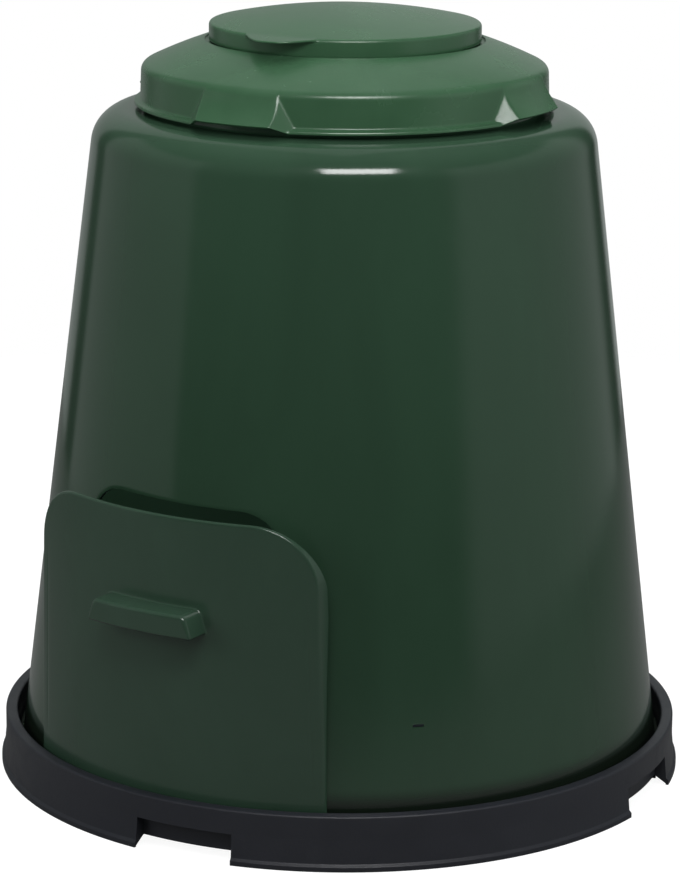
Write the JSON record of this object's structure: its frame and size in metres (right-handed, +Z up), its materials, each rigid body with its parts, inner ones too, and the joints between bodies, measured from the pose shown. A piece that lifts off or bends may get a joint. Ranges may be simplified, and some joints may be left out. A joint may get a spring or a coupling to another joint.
{
  "type": "compost bin",
  "caption": "Tapered round compost bin with a ground ring, slotted floor, front hatch that slides up, lift-off lid with finger grips, and a domed cap over the inlet in the lid.",
  "frame": {"origin": "on the ground, on the bin's axis, at the centre of the ground ring", "axes": "+Z up along the bin's axis, the hatch faces -Y, +X to the right seen from the front"},
  "size_m": [0.7392, 0.7456, 0.818],
  "materials": {
    "base_black": "satin moulded black polyethylene",
    "body_green": "glossy moulded dark green polyethylene",
    "hatch_green": "semi-gloss moulded dark green polyethylene",
    "lid_green": "satin moulded mid green polyethylene",
    "screw_steel": "zinc plated steel"
  },
  "bodies": {
    "bin": {"base_ring": "base_black", "floor_grille": "base_black", "body_shell": "body_green", "base_screw_1": "screw_steel", "base_screw_2": "screw_steel", "base_screw_3": "screw_steel", "base_screw_4": "screw_steel"},
    "hatch": {"hatch": "hatch_green"},
    "lid": {"lid": "lid_green"},
    "cap": {"lid_cap": "lid_green"}
  },
  "joints": [
    {"name": "hatch_slide", "type": "slide", "parent": "bin", "child": "hatch", "axis": [0, 0, 1], "range_m": [0, 0.31]},
    {"name": "lid_lift", "type": "slide", "parent": "bin", "child": "lid", "axis": [0, 0, 1], "range_m": [0, 0.25]},
    {"name": "cap_lift", "type": "slide", "parent": "lid", "child": "cap", "axis": [0, 0, 1], "range_m": [0, 0.12]}
  ]
}
